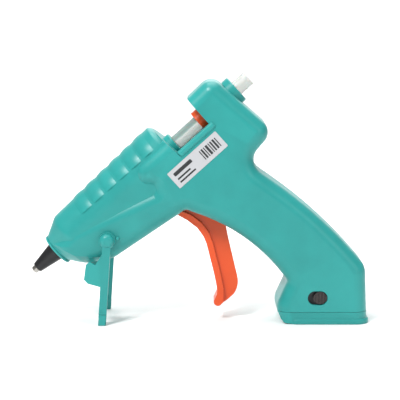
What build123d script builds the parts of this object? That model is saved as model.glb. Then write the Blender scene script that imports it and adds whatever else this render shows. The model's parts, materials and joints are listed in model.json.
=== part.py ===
from build123d import *
from math import cos, radians, sin
import os

# A cordless glue gun that stands on its grip's base and on a fold-away stand.
# Millimetres. +X points to the rear, +Y to the gun's right side, +Z up; z = 0 is the standing surface.

# ---- driving dimensions ----
AXIS_ANGLE = 42.0
TIP_X, TIP_Z = -81.95, 23.3
WALL = 2.0
HALF_WIDTH = 16.5
RIM = 6.4
SEAM = 0.05
CLEAR = 0.3
FIT = 0.1
STICK_RADIUS, STICK_LENGTH = 3.6, 100.0
CAP_HEIGHT = 6.0

# ---- stations along the glue axis, measured back from the nozzle tip ----
NOSE_S, NOSE_RADIUS = 16.6, 8.0
SHOULDER_S, SHOULDER_RADIUS = 26.0, 13.0
BARREL_END_S, BARREL_END_RADIUS = 94.0, 15.0
WINDOW_BACK_S = 113.5
WINDOW_FLOOR_T = -5.0
STICK_END_S = 141.7

COS_A, SIN_A = cos(radians(AXIS_ANGLE)), sin(radians(AXIS_ANGLE))
GLUE_AXIS = Axis((TIP_X, 0, TIP_Z), (COS_A, 0, SIN_A))
# Drawn on AXIS_SIDE, x runs back along the glue axis and y stands square to it, in the gun's middle plane.
AXIS_SIDE = Plane(origin=(TIP_X, 0, TIP_Z), x_dir=(COS_A, 0, SIN_A), z_dir=(0, -1, 0))
# Drawn on AXIS_TOP, x runs back along the glue axis and y to the gun's right.
AXIS_TOP = Plane(origin=(TIP_X, 0, TIP_Z), x_dir=(COS_A, 0, SIN_A), z_dir=(-SIN_A, 0, COS_A))


def station(s):
    """The plane across the glue axis at distance s from the tip: x to the right, y up."""
    origin = (TIP_X + s * COS_A, 0, TIP_Z + s * SIN_A)
    return Plane(origin=origin, x_dir=(0, 1, 0), z_dir=(COS_A, 0, SIN_A))


def along(s, t):
    """A point of the side view given along and square to the glue axis, as its x and z."""
    return (TIP_X + s * COS_A - t * SIN_A, TIP_Z + s * SIN_A + t * COS_A)


def across(y):
    """The side-view plane (x, z) moved to the given y. Its extrusions run towards -Y."""
    return Plane.XZ.offset(-y)


# ---- outline of the housing in the side view ----
NOSE_TOP, NOSE_LOW = along(17.5, 3.8), along(17.5, -6.0)
CHIN, BELLY = along(22.0, -14.3), along(35.3, -20.9)
BARREL_UNDER, TRIGGER_ROOT = along(73.5, -25.9), (-7.0, 55.6)
FRONT_TOP, FRONT_MID, FRONT_LOW = (-3.0, 54.0), (22.6, 40.9), (41.0, 22.6)
WAIST, BULGE, FRONT_FOOT = (42.4, 20.5), (37.2, 8.6), (38.6, 0.0)
BELOW_FRONT, BELOW_REAR = (42.6, -14.0), (81.2, -14.0)
REAR_FOOT, REAR_KNEE = (81.2, 0.0), (80.2, 26.5)
REAR_LOW, REAR_MID, REAR_TOP = (79.0, 29.0), (61.0, 48.2), (36.6, 68.3)
NECK, THUMB = (22.3, 78.4), (35.2, 93.4)
BLOCK_REAR, BLOCK_MID = along(129.2, 13.2), along(105.0, 12.4)
WINDOW_DIP, PAD_TOP, PAD_LOW = along(97.0, 5.5), along(69.3, 5.5), along(69.3, -4.0)
STEP_REAR, STEP_FRONT = along(75.5, -9.8), along(30.0, 3.8)
CORNER_RADII = [
    (NOSE_LOW, 7.0),
    (CHIN, 8.0),
    (BELLY, 10.0),
    (TRIGGER_ROOT, 3.0),
    (WAIST, 2.2),
    (BULGE, 9.0),
    (REAR_KNEE, 9.0),
    (NECK, 7.4),
    (THUMB, 6.7),
    (BLOCK_REAR, 6.7),
    (WINDOW_DIP, 10.0),
    (PAD_TOP, 6.7),
    (PAD_LOW, 5.0),
    (STEP_REAR, 1.0),
]
TAPER_FRONT_S, TAPER_REAR_S, TAPER_HALF = 10.0, 78.0, 12.2


def side_rims(form):
    """The edges around the two flat sides, without those shared by a side and its tapered front."""
    sides = [face for face in form.faces() if abs(face.normal_at().Y) > 0.5]
    edges = [edge for face in sides for edge in face.edges()]
    rims = ShapeList()
    for edge in edges:
        same = [other for other in edges if (other.center() - edge.center()).length < 1e-4]
        if len(same) == 1:
            rims.append(edge)
    return rims


def body_form(inset):
    """Grip, rear block and lower barrel with soft rims, drawn in by inset all round."""
    with BuildPart() as form:
        with BuildSketch(Plane.XZ) as side:
            with BuildLine():
                Polyline(NOSE_TOP, NOSE_LOW, CHIN, BELLY, BARREL_UNDER, TRIGGER_ROOT, FRONT_TOP)
                ThreePointArc(FRONT_TOP, FRONT_MID, FRONT_LOW)
                Polyline(FRONT_LOW, WAIST, BULGE, FRONT_FOOT, BELOW_FRONT, BELOW_REAR)
                Polyline(BELOW_REAR, REAR_FOOT, REAR_KNEE, REAR_LOW)
                ThreePointArc(REAR_LOW, REAR_MID, REAR_TOP)
                Polyline(REAR_TOP, NECK, THUMB, BLOCK_REAR, BLOCK_MID, WINDOW_DIP, PAD_TOP, PAD_LOW)
                Polyline(PAD_LOW, STEP_REAR, STEP_FRONT, NOSE_TOP)
            make_face()
            for corner, radius in CORNER_RADII:
                fillet(side.vertices().sort_by_distance(corner)[0], radius)
            if inset:
                offset(amount=-inset, kind=Kind.INTERSECTION)
        extrude(amount=HALF_WIDTH - inset, both=True)
        with BuildSketch(AXIS_TOP):
            for side_sign in (1, -1):
                with BuildLine():
                    Polyline(
                        (TAPER_FRONT_S, side_sign * (TAPER_HALF - inset)),
                        (TAPER_REAR_S, side_sign * (HALF_WIDTH - inset)),
                        (TAPER_REAR_S, side_sign * 2 * HALF_WIDTH),
                        (TAPER_FRONT_S, side_sign * 2 * HALF_WIDTH),
                        close=True,
                    )
                make_face()
        extrude(amount=60, both=True, mode=Mode.SUBTRACT)
        fillet(side_rims(form.part), RIM - inset)
    return form.part


def barrel_form(inset):
    """The round-topped barrel, its lower half carried straight down, drawn in by inset."""
    front, rear = SHOULDER_RADIUS - inset, BARREL_END_RADIUS - inset
    with BuildPart() as form:
        with BuildSketch(AXIS_SIDE) as half:
            with BuildLine():
                Polyline(
                    (NOSE_S + inset, 0),
                    (NOSE_S + inset, NOSE_RADIUS - 0.8 * inset),
                    (SHOULDER_S, front),
                    (BARREL_END_S, rear),
                    (BARREL_END_S, 0),
                    close=True,
                )
            make_face()
            fillet(half.vertices().sort_by_distance((SHOULDER_S, front))[0], 6)
        revolve(axis=GLUE_AXIS)
        for s, half_width in ((SHOULDER_S + 1, front), (BARREL_END_S, rear)):
            with BuildSketch(station(s)):
                with Locations((0, -6.5)):
                    Rectangle(2 * half_width, 13)
        loft()
    return form.part


def nose_cone():
    """A cone about the glue axis that rounds the chin off towards the nose, open to the rear."""
    with BuildPart() as cone:
        with BuildSketch(AXIS_SIDE):
            with BuildLine():
                Polyline(
                    (NOSE_S, 0),
                    (NOSE_S, NOSE_RADIUS),
                    (22.4, 14.5),
                    (36, 23.4),
                    (46, 40),
                    (46, 200),
                    (300, 200),
                    (300, 0),
                    close=True,
                )
            make_face()
        revolve(axis=GLUE_AXIS)
    return cone.part


def window_space(grow):
    """The open window between the barrel and the rear block, grown by a wall's thickness."""
    with BuildPart() as space:
        with BuildSketch(AXIS_SIDE):
            with BuildLine():
                Polyline(
                    (89.3 - grow, 24),
                    (93.1 - grow, WINDOW_FLOOR_T - grow),
                    (WINDOW_BACK_S + grow, WINDOW_FLOOR_T - grow),
                    (WINDOW_BACK_S + grow, 24),
                    close=True,
                )
            make_face()
        extrude(amount=30, both=True)
    return space.part


RIB_COUNT, RIB_FIRST_S, RIB_PITCH, RIB_LENGTH = 6, 38.2, 8.0, 7.6
RIB_HEIGHT, RIB_ROOT, RIB_END_T = 0.45, 0.1, 5.6


def barrel_ribs():
    """Rounded rings over the barrel's top, ended square above the flat sides."""
    slope = (BARREL_END_RADIUS - SHOULDER_RADIUS) / (BARREL_END_S - SHOULDER_S)
    ends = []
    for number in range(RIB_COUNT):
        for s in (RIB_FIRST_S + number * RIB_PITCH, RIB_FIRST_S + number * RIB_PITCH + RIB_LENGTH):
            ends.append((s, SHOULDER_RADIUS + slope * (s - SHOULDER_S) - RIB_ROOT))
    with BuildPart() as ribs:
        with BuildSketch(AXIS_SIDE):
            with BuildLine():
                for number in range(RIB_COUNT):
                    start, end = ends[2 * number], ends[2 * number + 1]
                    crest = ((start[0] + end[0]) / 2, (start[1] + end[1]) / 2 + RIB_ROOT + RIB_HEIGHT)
                    ThreePointArc(start, crest, end)
                for number in range(RIB_COUNT - 1):
                    Line(ends[2 * number + 1], ends[2 * number + 2])
                first, last = ends[0], ends[-1]
                Polyline(last, (last[0], last[1] - 1), (first[0], first[1] - 1), first)
            make_face()
        revolve(axis=GLUE_AXIS)
        split(bisect_by=AXIS_TOP.offset(RIB_END_T), keep=Keep.TOP)
    return ribs.part


def plain_hole(plane, radius, depth):
    """A round cutter that runs depth along the plane's normal from its origin."""
    with BuildPart() as cutter:
        with BuildSketch(plane):
            Circle(radius)
        extrude(amount=depth)
    return cutter.part


# ---- places of the main pieces ----
TRIGGER_PIVOT = (19.0, 70.0)
STAND_PIVOT = (-44.6, 40.9)
SWITCH_AT = (56.8, 12.9)
SCREWS_AT = [along(52, -18.6), (-3.2, 67.3), (27.3, 93.4), (30.0, 65.5), (45.4, 14.2), (73.6, 13.0)]
SCREW_END = -11.5
BOSS_RADIUS, SHANK_RADIUS, HEAD_RADIUS, HEAD_SEAT = 3.4, 1.25, 2.5, 8.0
CHAMBER_RADIUS, CHAMBER_START, CHAMBER_END = 6.5, 24.2, 62.0
RIB_STATIONS = (28.0, 57.0)
PIN_RADIUS = 1.5
CAP_TABS_X = (47.0, 70.0)
TRIGGER_HALF, FLANGE_HALF = 4.0, 6.0
STAND_INNER, STAND_OUTER = 17.0, 20.0

# ---- housing ----
outer_form = (body_form(0) & nose_cone()) + barrel_form(0) + barrel_ribs() - window_space(0)
cavity_form = (body_form(WALL) + barrel_form(WALL)) - window_space(WALL)

with BuildPart() as inner_frame:
    # Screw bosses and the trigger pin's bosses stand across the whole width.
    with BuildSketch(across(-HALF_WIDTH)):
        with Locations(*SCREWS_AT):
            Circle(BOSS_RADIUS)
    extrude(amount=-2 * HALF_WIDTH)
    with BuildSketch(across(-HALF_WIDTH)):
        with Locations(TRIGGER_PIVOT):
            Circle(3.4)
    extrude(amount=-2 * HALF_WIDTH)
    # Two bulkheads hold the melt chamber.
    for s in RIB_STATIONS:
        with BuildSketch(station(s)):
            Rectangle(40, 60)
            Circle(CHAMBER_RADIUS + FIT, mode=Mode.SUBTRACT)
        extrude(amount=1.8)
    # A ring behind the barrel's end wall holds the stick's inlet.
    with BuildSketch(station(84.5)):
        Circle(8.2)
    extrude(amount=7.5)
    # Lips inside the grip that the base cap's tabs hook over.
    for x in CAP_TABS_X:
        for side_sign in (1, -1):
            with Locations((x, side_sign * 14.2, CAP_HEIGHT + 0.55)):
                Box(4.0, 2.0, 1.3)

with BuildPart() as openings:
    # Nose bore, stick passages and the feed carriage's passage.
    add(plain_hole(station(14), 6.0, 10))
    add(plain_hole(station(84), 6.05, 12))
    add(plain_hole(station(98), 6.15, 20))
    add(plain_hole(station(126), 5.7, 10))
    add(plain_hole(station(130.3), 7.1, 8))
    # Slot for the trigger's blade through the underside.
    with BuildSketch(across(0)):
        with BuildLine():
            Polyline((-12.6, 44), (-12.6, 57), (4, 62), (21.5, 52), (22.5, 36), close=True)
        make_face()
    extrude(amount=FLANGE_HALF + 0.6, both=True)
    # Room for the trigger's hub and its spring between the pin's bosses.
    with BuildSketch(across(-TRIGGER_HALF - CLEAR)):
        with Locations(TRIGGER_PIVOT):
            Circle(7.5)
    extrude(amount=-2 * TRIGGER_HALF - 4.1)
    # Screw passages with their head seats on the right side.
    with BuildSketch(across(SCREW_END - CLEAR)):
        with Locations(*SCREWS_AT):
            Circle(SHANK_RADIUS + 0.05)
    extrude(amount=-HALF_WIDTH - 14)
    with BuildSketch(across(HEAD_SEAT)):
        with Locations(*SCREWS_AT):
            Circle(HEAD_RADIUS + 0.15)
    extrude(amount=-HALF_WIDTH)
    # Bore for the trigger pin, blind at both ends.
    with BuildSketch(across(0)):
        with Locations(TRIGGER_PIVOT):
            Circle(PIN_RADIUS + 0.02)
    extrude(amount=13.0, both=True)
    # Bore through both walls for the stand's pins.
    with BuildSketch(across(0)):
        with Locations(STAND_PIVOT):
            Circle(1.55)
    extrude(amount=HALF_WIDTH + 3, both=True)

with BuildPart() as trims:
    # Rounded lips along the window's lower edge, one on each side.
    for side_sign in (1, -1):
        with BuildSketch(station(93.4)):
            with Locations((side_sign * 15.2, -4.3)):
                RectangleRounded(4.4, 3.2, 1.4)
        extrude(amount=21.6)
    # Bosses that carry the stand's hubs, and a small detent bump behind each.
    for side_sign in (1, -1):
        with BuildSketch(across(side_sign * 10)):
            with Locations(STAND_PIVOT):
                Circle(4.1)
        extrude(amount=side_sign * -(STAND_INNER - CLEAR - 10))
        with BuildSketch(across(side_sign * 12)):
            with Locations((-39.6, 42.0)):
                Circle(1.1)
        extrude(amount=side_sign * -3.6, taper=6)

with BuildPart() as switch_hole:
    with BuildSketch(across(-12.0)):
        with Locations(SWITCH_AT):
            SlotOverall(9.6, 6.9)
    extrude(amount=8)

# What rounds off the barrel's rear end where it meets the window.
with BuildPart() as barrel_round:
    with BuildSketch(AXIS_SIDE):
        with BuildLine():
            ThreePointArc((87.2, 15.3), (89.6, 14.35), (90.95, 12.3))
            Polyline((90.95, 12.3), (95, 12.3), (95, 19), (87.2, 19), (87.2, 15.3))
        make_face()
    revolve(axis=GLUE_AXIS)
    split(bisect_by=AXIS_TOP.offset(RIB_END_T), keep=Keep.TOP)

with BuildPart() as above_cap:
    with Locations((0, 0, CAP_HEIGHT + 100)):
        Box(300, 60, 200)

body_shell = (outer_form + trims.part) - (cavity_form - inner_frame.part)
body_shell = body_shell - openings.part - switch_hole.part - barrel_round.part
body_shell = body_shell & above_cap.part

with BuildPart() as housing_left:
    add(body_shell)
    split(bisect_by=across(-SEAM), keep=Keep.TOP)
housing_left.part.label = "housing_left"

with BuildPart() as housing_right:
    add(body_shell)
    split(bisect_by=across(SEAM), keep=Keep.BOTTOM)
housing_right.part.label = "housing_right"

# ---- base cap, which closes the battery bay ----
CAP_TOP = CAP_HEIGHT - 0.15
FOOT_FRONT, FOOT_REAR, FOOT_HALF, FOOT_HEIGHT = 41.2, 82.0, 17.0, 2.6
with BuildPart() as cap_block:
    with Locations((60, 0, CAP_TOP / 2 + 0.2)):
        Box(80, 60, CAP_TOP - 0.4)
with BuildPart() as cap_pocket:
    with BuildSketch(Plane.XY.offset(WALL)):
        with Locations((60.3, 0)):
            RectangleRounded(35.0, 25.0, 5.0)
    extrude(amount=CAP_TOP)
    # The toe is cut back in two slopes.
    with BuildSketch(across(0)):
        with BuildLine():
            Polyline((30, 5.2), (38.0, 5.2), (39.3, 2.2), (41.6, 0), (30, 0), close=True)
        make_face()
    extrude(amount=20, both=True)
cap_body = (outer_form & cap_block.part) - cap_pocket.part

with BuildPart() as battery_cover:
    # The foot flares out round the rear and the sides.
    with BuildSketch(Plane.XY):
        with Locations(((FOOT_FRONT + FOOT_REAR) / 2, 0)):
            RectangleRounded(FOOT_REAR - FOOT_FRONT, 2 * FOOT_HALF, 6.4)
    extrude(amount=FOOT_HEIGHT)
    fillet(battery_cover.faces().sort_by(Axis.Z)[-1].edges(), 0.9)
    fillet(battery_cover.faces().sort_by(Axis.Z)[0].edges(), 0.5)
    add(cap_body)
    add(cap_pocket.solids().sort_by(Axis.X)[-1], mode=Mode.SUBTRACT)
    # Tabs that reach over the grip's lips until the cap has slid back.
    for x in CAP_TABS_X:
        for side_sign in (1, -1):
            with Locations((x, side_sign * 11.9, CAP_TOP + 0.5)):
                Box(3.6, 1.2, 4.1)
            with Locations((x, side_sign * 12.7, CAP_TOP + 2.1)):
                Box(3.6, 2.8, 0.9)
battery_cover.part.label = "battery_cover"

# ---- nose ring, nozzle and its sleeve ----


def turned(profile):
    """A piece turned about the glue axis from its half section of (s, radius) points."""
    with BuildPart() as piece:
        with BuildSketch(AXIS_SIDE):
            with BuildLine():
                Polyline(*profile, close=True)
            make_face()
        revolve(axis=GLUE_AXIS)
    return piece.part


RING = [(15.5, 5.0), (15.5, 8.0), (15.8, 8.35), (16.55, 8.35), (16.55, 5.95), (19.3, 5.95), (19.3, 5.0)]
with BuildPart() as nose_ring:
    add(turned(RING))
nose_ring.part.label = "nose_ring"

SLEEVE = [(2.3, 2.05), (2.3, 2.35), (2.6, 2.65), (14.6, 4.75), (19.5, 4.9), (19.5, 5.9)]
SLEEVE += [(21.5, 5.9), (21.5, 4.0), (14.8, 4.0)]
with BuildPart() as nozzle_sleeve:
    add(turned(SLEEVE))
nozzle_sleeve.part.label = "nozzle_sleeve"

NOZZLE = [(0.0, 0.6), (0.0, 1.4), (0.5, 1.9), (2.4, 1.95), (14.8, 3.9), (21.6, 3.9), (21.6, 5.6)]
NOZZLE += [(24.0, 5.6), (24.0, 2.4), (14.0, 2.4), (3.0, 0.6)]
with BuildPart() as nozzle_tip:
    add(turned(NOZZLE))
nozzle_tip.part.label = "nozzle_tip"

# ---- melt chamber, heater and inlet ----
with BuildPart() as melt_chamber:
    add(
        turned(
            [
                (CHAMBER_START, 2.6),
                (CHAMBER_START, CHAMBER_RADIUS),
                (CHAMBER_END, CHAMBER_RADIUS),
                (CHAMBER_END, 4.0),
                (34.0, 4.0),
                (28.0, 2.6),
            ]
        )
    )
    # A flat seat on top for the heater.
    with BuildSketch(station(32)):
        with Locations((0, 7.6)):
            Rectangle(14, 4.4)
    extrude(amount=23, mode=Mode.SUBTRACT)
melt_chamber.part.label = "melt_chamber"

HEATER_START, HEATER_LENGTH = 33.0, 21.0


def axis_block(start, length, low, high, half_width):
    """A block along the glue axis from start, between two heights above the axis."""
    with BuildPart() as block:
        with BuildSketch(station(start)):
            with Locations((0, (low + high) / 2)):
                Rectangle(2 * half_width, high - low)
        extrude(amount=length)
    return block.part


with BuildPart() as ptc_heater:
    add(axis_block(HEATER_START + 1, HEATER_LENGTH - 2, 5.45, 7.35, 4.0))
    fillet(ptc_heater.edges().filter_by(Axis((0, 0, 0), AXIS_TOP.z_dir)), 0.6)
ptc_heater.part.label = "ptc_heater"

with BuildPart() as heater_insulation:
    add(axis_block(HEATER_START, HEATER_LENGTH, 7.4, 8.0, 4.6))
heater_insulation.part.label = "heater_insulation"

with BuildPart() as heater_clamp:
    # A spring band bent round the chamber and the heater, open below.
    with BuildSketch(station(HEATER_START + 4)):
        with BuildLine():
            Polyline((-6.7, -4.0), (-6.7, 6.6), (-5.3, 8.1), (5.3, 8.1), (6.7, 6.6), (6.7, -4.0))
            offset(amount=0.7, side=Side.LEFT)
        make_face()
    extrude(amount=HEATER_LENGTH - 8)
heater_clamp.part.label = "heater_clamp"

with BuildPart() as inlet_sleeve:
    add(turned([(62.1, 3.85), (62.1, 6.3), (64.0, 6.3), (64.0, 5.3), (84.2, 5.3), (84.2, 3.85)]))
inlet_sleeve.part.label = "inlet_sleeve"

with BuildPart() as front_guide_bush:
    add(turned([(84.3, 3.85), (84.3, 6.0), (94.2, 6.0), (94.6, 5.6), (94.6, 3.85)]))
front_guide_bush.part.label = "front_guide_bush"

REAR_BUSH = [(127.9, 3.9), (127.9, 5.6), (130.4, 5.6), (130.4, 7.0), (133.7, 7.0), (134.1, 6.6)]
REAR_BUSH += [(134.1, 3.9)]
with BuildPart() as rear_guide_bush:
    add(turned(REAR_BUSH))
rear_guide_bush.part.label = "rear_guide_bush"

# ---- glue stick and the carriage that feeds it ----
with BuildPart() as glue_stick:
    with BuildSketch(station(STICK_END_S - STICK_LENGTH)):
        Circle(STICK_RADIUS)
    extrude(amount=STICK_LENGTH)
    fillet(glue_stick.edges(), 0.25)
glue_stick.part.label = "glue_stick"

COLLAR_S, CARRIAGE_END_S = 109.5, 127.3
ARM_TIP_S, ARM_TIP_T, ARM_TIP_RADIUS = 109.1, -10.9, 2.4
NOTCH_TOP_T = ARM_TIP_T + ARM_TIP_RADIUS + CLEAR
with BuildPart() as feed_carriage:
    with BuildSketch(station(COLLAR_S)):
        Circle(5.8)
    extrude(amount=CARRIAGE_END_S - COLLAR_S)
    # Web and bar below the tube; the trigger's arm works in the bar's notch.
    with BuildSketch(AXIS_SIDE):
        with BuildLine():
            Polyline(
                (121.8, -4.5),
                (125.4, -4.5),
                (125.4, -13.4),
                (103.4, -13.4),
                (103.4, -7.3),
                (121.8, -7.3),
                close=True,
            )
        make_face()
    extrude(amount=3.4, both=True)
    with BuildSketch(AXIS_SIDE):
        with Locations((ARM_TIP_S, NOTCH_TOP_T - 4)):
            Rectangle(2 * ARM_TIP_RADIUS + 2 * CLEAR, 8)
    extrude(amount=4, both=True, mode=Mode.SUBTRACT)
    with BuildSketch(station(COLLAR_S - 1)):
        Circle(STICK_RADIUS + CLEAR)
    extrude(amount=CARRIAGE_END_S - COLLAR_S + 2, mode=Mode.SUBTRACT)
feed_carriage.part.label = "feed_carriage"

# ---- trigger ----
FINGER_FRONT = [(-11.9, 52.6), (-6.2, 49.4), (-1.3, 45.6), (1.7, 41.4), (3.2, 37.8)]
FINGER_LOW = [(7.0, 22.5), (8.4, 15.4), (8.3, 12.6), (6.9, 9.6)]
LIP_MID, LIP_END = (7.6, 7.2), (10.0, 7.2)
HEEL = [(13.4, 9.6), (16.4, 12.3)]
HEEL_MID, HEEL_END = (18.5, 17.0), (18.0, 22.4)
BLADE_REAR = [(14.0, 39.4), (12.6, 46.4)]
ARM_TIP = along(ARM_TIP_S, ARM_TIP_T)
BLADE_TOP = [(15.2, 52.0), (23.2, 68.0), (15.0, 72.4), (1.6, 60.0), (-9.0, 55.4)]
FLANGE_BACK = [(-10.2, 54.4), (-4.2, 51.8), (0.9, 47.9), (4.3, 43.2), (6.2, 38.4)]
FLANGE_BACK += [(10.2, 22.2), (11.6, 14.9), (11.4, 8.6)]

with BuildPart() as trigger:
    with BuildSketch(across(0)):
        with BuildLine():
            Polyline(*FINGER_FRONT, *FINGER_LOW)
            ThreePointArc(FINGER_LOW[-1], LIP_MID, LIP_END)
            Polyline(LIP_END, *HEEL)
            ThreePointArc(HEEL[-1], HEEL_MID, HEEL_END)
            Polyline(HEEL_END, *BLADE_REAR, *BLADE_TOP)
            Line((-9.0, 55.4), FINGER_FRONT[0])
        make_face()
    extrude(amount=TRIGGER_HALF, both=True)
    # The broad finger face along the front.
    with BuildSketch(across(0)):
        with BuildLine():
            Polyline(*FINGER_FRONT, *FINGER_LOW)
            ThreePointArc(FINGER_LOW[-1], LIP_MID, LIP_END)
            Polyline(LIP_END, *reversed(FLANGE_BACK), FINGER_FRONT[0])
        make_face()
    extrude(amount=FLANGE_HALF, both=True)
    # Hub and the arm that drives the carriage.
    with BuildSketch(across(0)):
        with Locations(TRIGGER_PIVOT):
            Circle(4.6)
        with Locations(ARM_TIP):
            Circle(ARM_TIP_RADIUS)
        with BuildLine():
            Polyline((15.4, 67.6), (22.4, 72.4), (6.9, 89.6), (4.9, 88.2), close=True)
        make_face()
    extrude(amount=3.4, both=True)
    with BuildSketch(across(0)):
        with Locations(TRIGGER_PIVOT):
            Circle(4.6)
    extrude(amount=TRIGGER_HALF, both=True)
    with BuildSketch(across(0)):
        with Locations(TRIGGER_PIVOT):
            Circle(PIN_RADIUS + 0.06)
    extrude(amount=TRIGGER_HALF + 1, both=True, mode=Mode.SUBTRACT)
trigger.part.label = "trigger"

with BuildPart() as trigger_pin:
    with BuildSketch(across(0)):
        with Locations(TRIGGER_PIVOT):
            Circle(PIN_RADIUS)
    extrude(amount=12.5, both=True)
    chamfer(trigger_pin.edges(), 0.25)
trigger_pin.part.label = "trigger_pin"

SPRING_RADIUS, SPRING_WIRE, SPRING_PITCH, SPRING_TURNS = 2.7, 0.35, 0.8, 3
SPRING_START = (TRIGGER_PIVOT[0], 4.8, TRIGGER_PIVOT[1])
with BuildPart() as trigger_spring:
    with BuildLine() as coil:
        Helix(
            SPRING_PITCH,
            SPRING_PITCH * SPRING_TURNS,
            SPRING_RADIUS,
            center=SPRING_START,
            direction=(0, 1, 0),
        )
    with BuildSketch(Plane(origin=coil.line @ 0, z_dir=coil.line % 0)):
        Circle(SPRING_WIRE)
    sweep(path=coil.line)
trigger_spring.part.label = "trigger_spring"

# ---- batteries ----
# The tray lies along the grip: its plane's normal points down the grip from the tray's top end.
GRIP_ANGLE = -42.7
TRAY_TOP = (33.5, 50.8)
GRIP_DIR = (cos(radians(GRIP_ANGLE)), 0, sin(radians(GRIP_ANGLE)))
CELL_RADIUS, CELL_LENGTH, CELL_PITCH = 5.15, 44.0, 10.7
TRAY_HALF, TRAY_LENGTH, TRAY_END = 11.1, 48.6, 1.2


def grip_station(distance):
    """The plane across the grip at a distance below the tray's top end."""
    origin = (TRAY_TOP[0] + distance * GRIP_DIR[0], 0, TRAY_TOP[1] + distance * GRIP_DIR[2])
    return Plane(origin=origin, x_dir=(0, 1, 0), z_dir=GRIP_DIR)


with BuildPart() as battery_tray:
    with BuildSketch(grip_station(0)):
        RectangleRounded(2 * TRAY_HALF, 2 * TRAY_HALF, 1.5)
    extrude(amount=TRAY_LENGTH)
    with BuildSketch(grip_station(TRAY_END)):
        with GridLocations(CELL_PITCH, CELL_PITCH, 2, 2):
            Circle(CELL_RADIUS + FIT)
        # Each side is open over the cells' middles.
        Rectangle(2 * TRAY_HALF + 2, 7.0)
        Rectangle(7.0, 2 * TRAY_HALF + 2)
    extrude(amount=TRAY_LENGTH - 2 * TRAY_END, mode=Mode.SUBTRACT)
battery_tray.part.label = "battery_tray"

with BuildPart() as battery_cells:
    with BuildSketch(grip_station(TRAY_END + 1.2)):
        with GridLocations(CELL_PITCH, CELL_PITCH, 2, 2):
            Circle(CELL_RADIUS)
    extrude(amount=CELL_LENGTH - 1)
    with BuildSketch(grip_station(TRAY_END + 0.4)):
        with GridLocations(CELL_PITCH, CELL_PITCH, 2, 2):
            Circle(1.9)
    extrude(amount=0.8)
battery_cells.part.label = "battery_cells"

with BuildPart() as battery_contacts:
    with BuildSketch(grip_station(TRAY_LENGTH - TRAY_END - 0.5)):
        with GridLocations(CELL_PITCH, CELL_PITCH, 2, 2):
            Circle(4.0)
    extrude(amount=0.4)
    for turn in range(2):
        with BuildSketch(grip_station(TRAY_LENGTH - TRAY_END - 1.2 + 0.35 * turn)):
            with GridLocations(CELL_PITCH, CELL_PITCH, 2, 2):
                Circle(3.2 - 0.8 * turn)
                Circle(2.4 - 0.8 * turn, mode=Mode.SUBTRACT)
        extrude(amount=0.75)
battery_contacts.part.label = "battery_contacts"

# ---- switch ----
with BuildPart() as switch_body:
    with BuildSketch(across(-11.6)):
        with Locations(SWITCH_AT):
            Rectangle(12.4, 8.0)
    extrude(amount=2.8)
    with BuildSketch(across(-13.6)):
        with Locations(SWITCH_AT):
            Rectangle(9.4, 6.4)
    extrude(amount=2, mode=Mode.SUBTRACT)
switch_body.part.label = "switch_body"

SLIDER_AT = (SWITCH_AT[0] + 1.25, SWITCH_AT[1])
with BuildPart() as switch_slider:
    with BuildSketch(across(-13.9)):
        with Locations(SLIDER_AT):
            SlotOverall(6.6, 5.9)
    extrude(amount=2.1)
    with BuildSketch(across(-15.4)):
        with Locations(SLIDER_AT):
            with GridLocations(1.5, 0, 4, 1):
                Rectangle(0.6, 8)
    extrude(amount=2, mode=Mode.SUBTRACT)
switch_slider.part.label = "switch_slider"

# ---- stand ----
LEG_FOOT_X, LEG_HALF, LEG_THICKNESS = -47.2, 1.8, 2.4
HUB_RADIUS, HUB_ROUND, PIN_DEPTH = 3.6, 2.4, 2.0
GUSSET_TOP, GUSSET_REAR = (-53.0, 31.2), (-45.8, 36.6)
GUSSET = [GUSSET_TOP, (-54.7, 29.6), (-55.7, 22.6), (-53.9, 20.6), (-47.2, 18.7)]
with BuildPart() as stand:
    # A domed hub on each side of the nose.
    for side_sign in (1, -1):
        with BuildSketch(across(side_sign * STAND_INNER)):
            with Locations(STAND_PIVOT):
                Circle(HUB_RADIUS)
        extrude(amount=side_sign * -(STAND_OUTER - STAND_INNER))
    by_side = stand.edges().group_by(Axis.Y)
    fillet(by_side[0] + by_side[-1], HUB_ROUND)
    # The legs hang from the hubs, with a gusset at the front.
    for side_sign in (1, -1):
        inner = side_sign * STAND_INNER
        with BuildSketch(across(inner)):
            with BuildLine():
                Polyline(
                    (STAND_PIVOT[0] - 2.0, STAND_PIVOT[1]),
                    (STAND_PIVOT[0] + 2.0, STAND_PIVOT[1]),
                    (LEG_FOOT_X + LEG_HALF, 0),
                    (LEG_FOOT_X - LEG_HALF - 0.1, 0),
                    close=True,
                )
            make_face()
        extrude(amount=side_sign * -LEG_THICKNESS)
        with BuildSketch(across(inner)):
            with BuildLine():
                Polyline(*GUSSET, (-45.0, 20.0), GUSSET_REAR, (-50.2, 29.6), close=True)
            make_face()
        extrude(amount=side_sign * -(LEG_THICKNESS - 0.3))
        with BuildSketch(across(inner)):
            with Locations(STAND_PIVOT):
                Circle(1.52)
        extrude(amount=side_sign * -PIN_DEPTH, mode=Mode.SUBTRACT)
    # The bar that ties both legs together under the nose.
    with BuildSketch(across(0)):
        with Locations((-53.2, 23.6)):
            Circle(1.9)
    extrude(amount=STAND_INNER + 1, both=True)
stand.part.label = "stand"

with BuildPart() as stand_pins:
    for side_sign in (1, -1):
        with BuildSketch(across(side_sign * 10.5)):
            with Locations(STAND_PIVOT):
                Circle(1.5)
        extrude(amount=side_sign * -(STAND_INNER + PIN_DEPTH - 10.5))
stand_pins.part.label = "stand_pins"

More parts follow.
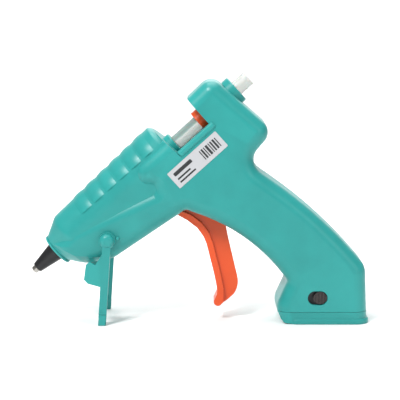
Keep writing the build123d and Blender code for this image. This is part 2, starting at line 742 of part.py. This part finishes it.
# ---- label, screws ----
LABEL_START_S, LABEL_LENGTH, LABEL_LOW_T, LABEL_HEIGHT = 82.6, 30.8, -16.5, 9.3
with BuildPart() as label_plate:
    with BuildSketch(AXIS_SIDE.offset(HALF_WIDTH + 0.02)):
        with Locations((LABEL_START_S + LABEL_LENGTH / 2, LABEL_LOW_T + LABEL_HEIGHT / 2)):
            RectangleRounded(LABEL_LENGTH, LABEL_HEIGHT, 0.5)
    extrude(amount=0.16)
label_plate.part.label = "label_plate"

with BuildPart() as housing_screws:
    with BuildSketch(across(SCREW_END)):
        with Locations(*SCREWS_AT):
            Circle(SHANK_RADIUS)
    extrude(amount=-(HEAD_SEAT + 0.1 - SCREW_END))
    with BuildSketch(across(HEAD_SEAT + 0.05)):
        with Locations(*SCREWS_AT):
            Circle(HEAD_RADIUS)
            Rectangle(3.0, 0.7, mode=Mode.SUBTRACT)
            Rectangle(0.7, 3.0, mode=Mode.SUBTRACT)
    extrude(amount=-1.7)
    with BuildSketch(across(HEAD_SEAT + 0.05)):
        with Locations(*SCREWS_AT):
            Circle(HEAD_RADIUS)
    extrude(amount=-0.7)
housing_screws.part.label = "housing_screws"

SUB_PARTS = [
    housing_left,
    housing_right,
    battery_cover,
    nose_ring,
    nozzle_sleeve,
    nozzle_tip,
    melt_chamber,
    ptc_heater,
    heater_insulation,
    heater_clamp,
    inlet_sleeve,
    front_guide_bush,
    rear_guide_bush,
    glue_stick,
    feed_carriage,
    trigger,
    trigger_pin,
    trigger_spring,
    battery_tray,
    battery_cells,
    battery_contacts,
    switch_body,
    switch_slider,
    stand,
    stand_pins,
    label_plate,
    housing_screws,
]
os.makedirs("parts", exist_ok=True)
for sub_part in SUB_PARTS:
    export_step(sub_part.part, "parts/" + sub_part.part.label + ".step")
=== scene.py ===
import json
import math

import bpy
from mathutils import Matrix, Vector


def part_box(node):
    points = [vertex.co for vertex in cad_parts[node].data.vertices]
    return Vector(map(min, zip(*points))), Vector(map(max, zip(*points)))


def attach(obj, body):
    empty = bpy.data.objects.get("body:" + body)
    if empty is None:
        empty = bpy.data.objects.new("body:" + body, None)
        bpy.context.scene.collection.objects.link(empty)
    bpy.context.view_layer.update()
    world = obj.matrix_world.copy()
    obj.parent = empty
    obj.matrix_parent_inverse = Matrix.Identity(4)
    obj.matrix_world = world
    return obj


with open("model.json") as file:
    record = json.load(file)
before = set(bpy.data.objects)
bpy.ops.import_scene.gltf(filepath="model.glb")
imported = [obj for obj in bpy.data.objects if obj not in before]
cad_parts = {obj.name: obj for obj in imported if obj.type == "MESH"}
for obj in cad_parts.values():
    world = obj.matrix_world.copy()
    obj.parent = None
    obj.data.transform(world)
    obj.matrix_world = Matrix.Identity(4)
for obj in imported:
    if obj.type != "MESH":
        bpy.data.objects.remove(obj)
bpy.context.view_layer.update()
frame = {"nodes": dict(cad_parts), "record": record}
nodes = frame["nodes"]


# ---- materials ----
def new_material(name):
    """An empty node material with its shader; returns (material, nodes, links, shader)."""
    material = bpy.data.materials.new(name)
    material.use_nodes = True
    tree = material.node_tree
    shader = tree.nodes["Principled BSDF"]
    return material, tree.nodes, tree.links, shader


def noise(tree_nodes, tree_links, position, scale, detail, roughness=0.55):
    """A 3-D noise read at the given position socket."""
    node = tree_nodes.new("ShaderNodeTexNoise")
    node.inputs["Scale"].default_value = scale
    node.inputs["Detail"].default_value = detail
    node.inputs["Roughness"].default_value = roughness
    tree_links.new(position, node.inputs["Vector"])
    return node


def ramp(tree_nodes, tree_links, value, stops):
    """A colour ramp through (place, rgb) stops."""
    node = tree_nodes.new("ShaderNodeValToRGB")
    elements = node.color_ramp.elements
    while len(elements) < len(stops):
        elements.new(0.5)
    for element, (place, rgb) in zip(elements, stops):
        element.position = place
        element.color = (*rgb, 1.0)
    tree_links.new(value, node.inputs["Fac"])
    return node


def shade(rgb, factor):
    """The colour made lighter or darker."""
    return tuple(min(1.0, channel * factor) for channel in rgb)


def finish(
    name,
    rgb,
    rough,
    spread=0.07,
    mottle=90.0,
    grain=1600.0,
    grain_depth=0.00002,
    wear=0.0,
    **sockets,
):
    """A moulded or metal surface: mottled colour, uneven gloss, fine grain and lighter worn edges.

    spread is how far the colour varies, mottle and grain are noise scales, and grain_depth is
    in metres. Other names are the shader's own sockets, with underscores for spaces.
    """
    material, tree_nodes, tree_links, shader = new_material(name)
    position = tree_nodes.new("ShaderNodeTexCoord").outputs["Object"]
    patches = noise(tree_nodes, tree_links, position, mottle, 4.0)
    colour = ramp(
        tree_nodes,
        tree_links,
        patches.outputs["Fac"],
        [(0.3, shade(rgb, 1 - spread)), (0.5, rgb), (0.7, shade(rgb, 1 + spread))],
    )
    colour_out = colour.outputs["Color"]
    if wear > 0:
        geometry = tree_nodes.new("ShaderNodeNewGeometry")
        edges = ramp(
            tree_nodes,
            tree_links,
            geometry.outputs["Pointiness"],
            [(0.5, (0.0, 0.0, 0.0)), (0.58, (wear, wear, wear))],
        )
        mix = tree_nodes.new("ShaderNodeMix")
        mix.data_type = "RGBA"
        tree_links.new(edges.outputs["Color"], mix.inputs["Factor"])
        tree_links.new(colour_out, mix.inputs[6])
        mix.inputs[7].default_value = (*shade(rgb, 1.5), 1.0)
        colour_out = mix.outputs[2]
    tree_links.new(colour_out, shader.inputs["Base Color"])
    gloss = noise(tree_nodes, tree_links, position, mottle * 2.2, 5.0)
    gloss_range = tree_nodes.new("ShaderNodeMapRange")
    gloss_range.inputs["To Min"].default_value = rough - 0.06
    gloss_range.inputs["To Max"].default_value = rough + 0.08
    tree_links.new(gloss.outputs["Fac"], gloss_range.inputs["Value"])
    tree_links.new(gloss_range.outputs["Result"], shader.inputs["Roughness"])
    fine = noise(tree_nodes, tree_links, position, grain, 3.0, 0.6)
    bump = tree_nodes.new("ShaderNodeBump")
    bump.inputs["Strength"].default_value = 0.35
    bump.inputs["Distance"].default_value = grain_depth
    tree_links.new(fine.outputs["Fac"], bump.inputs["Height"])
    tree_links.new(bump.outputs["Normal"], shader.inputs["Normal"])
    for socket, value in sockets.items():
        shader.inputs[socket.replace("_", " ")].default_value = value
    return material


TEAL = (0.022, 0.288, 0.272)
ORANGE = (0.66, 0.068, 0.006)

MATERIALS = {
    "housing": finish("teal_plastic", TEAL, 0.34, spread=0.05, wear=0.2, Specular_IOR_Level=0.36),
    "orange_plastic": finish("orange_plastic", ORANGE, 0.36, spread=0.06, wear=0.2),
    "sleeve_rubber": finish(
        "charcoal_silicone", (0.013, 0.013, 0.015), 0.34, spread=0.25, Specular_IOR_Level=0.35
    ),
    "nozzle_metal": finish("plated_nozzle", (0.42, 0.40, 0.37), 0.22, Metallic=1.0, grain=900.0),
    "chamber_metal": finish("machined_aluminium", (0.70, 0.71, 0.72), 0.34, Metallic=1.0),
    "heater_plate": finish("ceramic", (0.52, 0.50, 0.47), 0.62),
    "insulation": finish("amber_film", (0.55, 0.30, 0.07), 0.30),
    "spring_steel": finish("plated_steel", (0.60, 0.61, 0.63), 0.28, Metallic=1.0),
    "screw_steel": finish("blackened_steel", (0.13, 0.13, 0.14), 0.38, Metallic=1.0, spread=0.2),
    "silicone": finish("white_silicone", (0.70, 0.68, 0.64), 0.55),
    "glue": finish(
        "hot_melt_glue",
        (0.74, 0.76, 0.73),
        0.14,
        spread=0.03,
        mottle=60.0,
        grain_depth=0.000004,
        Transmission_Weight=0.7,
        Subsurface_Weight=0.2,
        Subsurface_Scale=0.003,
        IOR=1.47,
    ),
    "dark_plastic": finish("black_plastic", (0.020, 0.022, 0.025), 0.45, spread=0.25),
    "switch_black": finish("switch_plastic", (0.020, 0.013, 0.012), 0.30, spread=0.3, wear=0.3),
    "cell_wrap": finish("cell_wrap", (0.16, 0.18, 0.21), 0.30),
    "label_film": finish("label_film", (0.50, 0.51, 0.53), 0.38, spread=0.03, mottle=200.0),
}

for part in frame["record"]["subparts"]:
    mesh = nodes[part["node"]].data
    mesh.materials.clear()
    mesh.materials.append(MATERIALS[part["material_slot"]])


# ---- places taken from the frame ----
GLUE_ANGLE = math.radians(42.0)
BACK = Vector((math.cos(GLUE_ANGLE), 0.0, math.sin(GLUE_ANGLE)))
UP = Vector((-math.sin(GLUE_ANGLE), 0.0, math.cos(GLUE_ANGLE)))


def mesh_piece(name, points, faces, body, slot):
    """A mesh made of the given corners, riding on a body with a slot's material."""
    mesh = bpy.data.meshes.new(name)
    mesh.from_pydata([tuple(p) for p in points], [], faces)
    mesh.update()
    obj = bpy.data.objects.new(name, mesh)
    bpy.context.scene.collection.objects.link(obj)
    mesh.materials.append(MATERIALS[slot])
    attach(obj, body)


def chamfered(low_u, high_u, low_v, high_v, cut):
    """The outline of a bar with its corners cut off, counter-clockwise."""
    return [
        (low_u + cut, low_v),
        (high_u - cut, low_v),
        (high_u, low_v + cut),
        (high_u, high_v - cut),
        (high_u - cut, high_v),
        (low_u + cut, high_v),
        (low_u, high_v - cut),
        (low_u, low_v + cut),
    ]


def raised_plates(name, outlines, centre, axes, face_y, rise, body, slot):
    """Thin plates on a side face: each outline lies along the two axes and rises from face_y."""
    points, faces = [], []
    for outline in outlines:
        start, count = len(points), len(outline)
        for depth in (0.0, rise):
            for u, v in outline:
                place = centre + u * axes[0] + v * axes[1]
                points.append((place.x, face_y + depth, place.z))
        faces.append([start + count + i for i in range(count)])
        faces.append([start + i for i in reversed(range(count))])
        for i in range(count):
            j = (i + 1) % count
            faces.append([start + i, start + j, start + count + j, start + count + i])
    mesh_piece(name, points, faces, body, slot)


label_low, label_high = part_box("label_plate")
label_centre = (label_low + label_high) / 2
INK = 0.00004  # the print's thickness
# Plain bars and a row of stripes stand for the label's print; there is no text or mark.
bars = [
    chamfered(-0.0132, -0.0022, 0.0010, 0.0028, 0.0003),
    chamfered(-0.0132, -0.0052, -0.0012, -0.0004, 0.0002),
    chamfered(-0.0132, -0.0034, -0.0030, -0.0022, 0.0002),
]
STRIPE_WIDTHS = (0.0005, 0.0009, 0.0005, 0.0012, 0.0005, 0.0008, 0.0010, 0.0005)
STRIPE_START, STRIPE_GAP, STRIPE_HALF = 0.0030, 0.0006, 0.0026
stripe_start = STRIPE_START
for width in STRIPE_WIDTHS:
    bars.append(
        chamfered(stripe_start, stripe_start + width, -STRIPE_HALF, STRIPE_HALF, 0.0001)
    )
    stripe_start += width + STRIPE_GAP
raised_plates(
    "label_print", bars, label_centre, (BACK, UP), label_low.y, -INK, "housing", "dark_plastic"
)

# A thin shoe on the outside of each of the stand's legs, and a raised line above it.
stand_low, stand_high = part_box("stand")
FOOT_X, FOOT_HALF, SHOE_HEIGHT, SHOE_RISE = -0.0472, 0.00165, 0.0052, 0.00032
HUB_PROUD = 0.0006  # how far the hubs stand out past the legs
ALONG, ABOVE = Vector((1.0, 0.0, 0.0)), Vector((0.0, 0.0, 1.0))
foot_centre = Vector((FOOT_X, 0.0, stand_low.z))
shoe = chamfered(-FOOT_HALF, FOOT_HALF, 0.0002, SHOE_HEIGHT, 0.0004)
raised_line = chamfered(-FOOT_HALF, FOOT_HALF, SHOE_HEIGHT + 0.0005, SHOE_HEIGHT + 0.0010, 0.0001)
for side, face_y, out in (
    ("left", stand_low.y + HUB_PROUD, -1.0),
    ("right", stand_high.y - HUB_PROUD, 1.0),
):
    raised_plates(
        "stand_shoe_" + side,
        [shoe, raised_line],
        foot_centre,
        (ALONG, ABOVE),
        face_y,
        out * SHOE_RISE,
        "stand",
        "housing",
    )


# ---- floor, light, camera ----
# Pale paper that lies flat, curves up behind the object and runs on as a wall.
FLOOR_HALF, FLOOR_BACK, WALL_RISE, CURVE_RADIUS, CURVE_STEPS = 6.0, 1.2, 2.0, 0.6, 16
floor_mesh = bpy.data.meshes.new("floor")
profile = [(-FLOOR_HALF, 0.0)]
for step in range(CURVE_STEPS + 1):
    angle = math.radians(90.0) * step / CURVE_STEPS
    profile.append(
        (FLOOR_BACK + CURVE_RADIUS * math.sin(angle), CURVE_RADIUS * (1 - math.cos(angle)))
    )
profile.append((FLOOR_BACK + CURVE_RADIUS, WALL_RISE))
floor_points = []
for y, z in profile:
    floor_points.append((-FLOOR_HALF, y, z))
    floor_points.append((FLOOR_HALF, y, z))
floor_faces = [(2 * i, 2 * i + 1, 2 * i + 3, 2 * i + 2) for i in range(len(profile) - 1)]
floor_mesh.from_pydata(floor_points, [], floor_faces)
for polygon in floor_mesh.polygons:
    polygon.use_smooth = True
floor = bpy.data.objects.new("floor", floor_mesh)
bpy.context.scene.collection.objects.link(floor)
floor_mesh.materials.append(finish("paper", (0.93, 0.93, 0.93), 0.85, spread=0.015, mottle=8.0))

LOOK_AT = Vector((0.0, 0.0, 0.0585))


def area_light(name, place, size, power, aim=LOOK_AT):
    """A square soft box, aimed at the middle of the object unless told otherwise."""
    lamp = bpy.data.lights.new(name, "AREA")
    lamp.shape = "SQUARE"
    lamp.size = size
    lamp.energy = power
    obj = bpy.data.objects.new(name, lamp)
    obj.location = place
    obj.rotation_mode = "QUATERNION"
    obj.rotation_quaternion = (aim - Vector(place)).to_track_quat("-Z", "Y")
    obj.visible_camera = False
    bpy.context.scene.collection.objects.link(obj)


area_light("key_light", (-0.45, -0.60, 0.95), 0.28, 11.5)
area_light("fill_light", (1.15, -1.25, 0.60), 0.8, 4.4)
area_light("top_light", (0.05, 0.15, 1.05), 0.8, 5.8)
area_light("rear_light", (0.2, 0.85, 0.6), 0.7, 2.0)
area_light("backdrop_light", (0.0, 0.75, 1.5), 1.2, 14.0, aim=Vector((0.0, 1.7, 0.25)))

world = bpy.data.worlds.new("studio")
world.use_nodes = True
world.node_tree.nodes["Background"].inputs["Color"].default_value = (1.0, 1.0, 1.0, 1.0)
world.node_tree.nodes["Background"].inputs["Strength"].default_value = 0.3
bpy.context.scene.world = world

CAMERA_DISTANCE, CAMERA_RISE, LENS, SENSOR = 0.650, math.radians(8.0), 119.4, 36.0
camera_data = bpy.data.cameras.new("camera")
camera_data.lens = LENS
camera_data.sensor_width = SENSOR
camera = bpy.data.objects.new("camera", camera_data)
to_camera = Vector((0.0, -math.cos(CAMERA_RISE), math.sin(CAMERA_RISE)))
camera.location = LOOK_AT + CAMERA_DISTANCE * to_camera
camera.rotation_mode = "QUATERNION"
camera.rotation_quaternion = (-to_camera).to_track_quat("-Z", "Y")
bpy.context.scene.collection.objects.link(camera)
bpy.context.scene.camera = camera

bpy.context.scene.view_settings.view_transform = "Standard"
